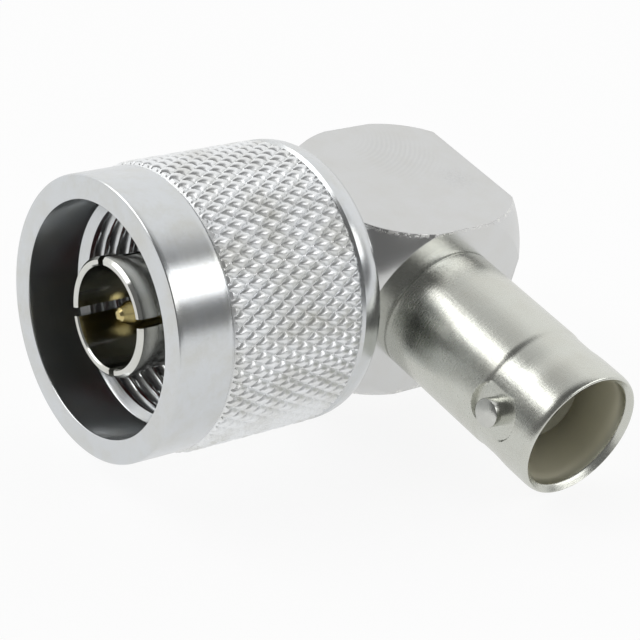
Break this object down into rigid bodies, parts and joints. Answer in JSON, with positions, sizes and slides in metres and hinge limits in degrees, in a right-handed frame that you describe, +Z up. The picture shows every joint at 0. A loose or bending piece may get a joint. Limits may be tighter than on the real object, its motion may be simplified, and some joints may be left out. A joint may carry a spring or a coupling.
{
  "type": "right-angle coaxial adapter",
  "caption": "Right-angle coaxial adapter: screw-on plug with a knurled coupling nut at one end, bayonet jack with two studs at the other, joined by an elbow with milled flats.",
  "frame": {"origin": "centre of the plug's outer contact at its front face", "axes": "the part lies as it rests on a table with +Z up; the plug's mouth faces -X and is raised about 8 degrees, and the jack points to -Y and droops about 10 degrees"},
  "size_m": [0.0334, 0.0326, 0.0217],
  "materials": {
    "nickel": "bright nickel plate on brass",
    "nickel_nut": "bright nickel plate on brass",
    "gold_contact": "gold plate",
    "fluoropolymer": "waxy white",
    "silicone": "matt",
    "ring_steel": "plain"
  },
  "bodies": {
    "elbow": {"elbow_body": "nickel", "rear_cap": "nickel", "plug_ferrule": "nickel", "outer_contact": "nickel", "seal": "silicone", "plug_pin": "gold_contact", "plug_bead": "fluoropolymer", "elbow_insulator": "fluoropolymer", "rear_insulator": "fluoropolymer", "jack_shell": "nickel", "bayonet_studs": "nickel", "jack_insulator": "fluoropolymer", "jack_socket": "gold_contact"},
    "ring": {"retaining_ring": "ring_steel"},
    "nut": {"coupling_nut": "nickel_nut"}
  },
  "joints": [
    {"name": "nut_end_play", "type": "slide", "parent": "elbow", "child": "ring", "axis": [-0.9894, 0, 0.1452], "range_m": [0, 0.0004]},
    {"name": "nut_spin", "type": "hinge", "parent": "ring", "child": "nut", "pos_m": [0, 0, 0], "axis": [-0.9894, 0, 0.1452], "continuous": true}
  ]
}
